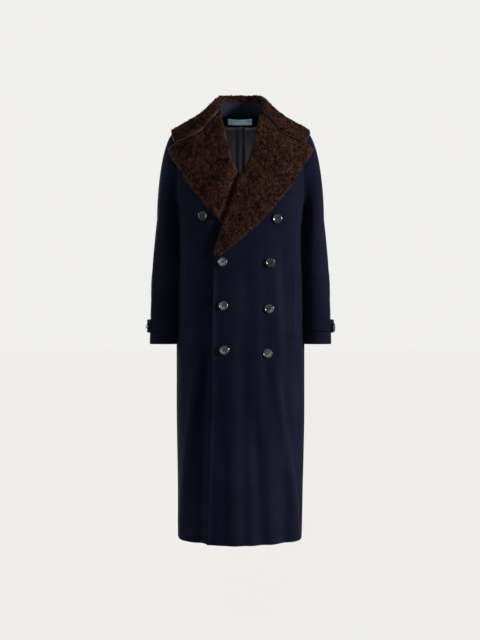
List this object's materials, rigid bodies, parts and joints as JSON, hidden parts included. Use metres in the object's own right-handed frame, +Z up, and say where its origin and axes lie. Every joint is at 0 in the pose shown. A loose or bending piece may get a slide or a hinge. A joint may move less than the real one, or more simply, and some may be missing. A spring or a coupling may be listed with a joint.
{
  "type": "overcoat",
  "caption": "Long double-breasted wool overcoat with a curly shearling collar and peaked lapels, strapped cuffs and welt pockets, filled out as worn over an empty body",
  "frame": {"origin": "between the two shoulder tips, at their level, where the wearer's shoulders carry the coat", "axes": "+Z up along the coat's length, -Y towards the front, +X towards the wearer's left"},
  "size_m": [0.5554, 0.347, 1.3309],
  "materials": {
    "wool": "dark navy melton wool with a short brushed nap",
    "shearling": "very dark brown shearling with short tight curls",
    "lining": "charcoal navy twill lining with a soft sheen",
    "label": "blue grey woven tape, bare",
    "horn": "polished dark horn"
  },
  "bodies": {
    "root": {"back_left": "wool", "back_right": "wool", "button_1": "horn", "button_2": "horn", "button_3": "horn", "button_4": "horn", "button_5": "horn", "button_6": "horn", "button_7": "horn", "button_8": "horn", "collar_left": "shearling", "collar_right": "shearling", "collar_stand_left": "wool", "collar_stand_right": "wool", "cuff_button_left": "horn", "cuff_button_right": "horn", "cuff_strap_left": "wool", "cuff_strap_right": "wool", "front_left": "wool", "front_right": "wool", "label": "label", "lapel_left": "shearling", "lapel_right": "shearling", "lining_back": "lining", "neck_facing": "wool", "pocket_welt_left": "wool", "pocket_welt_right": "wool", "sleeve_top_left": "wool", "sleeve_top_right": "wool", "sleeve_under_left": "wool", "sleeve_under_right": "wool"}
  },
  "joints": []
}
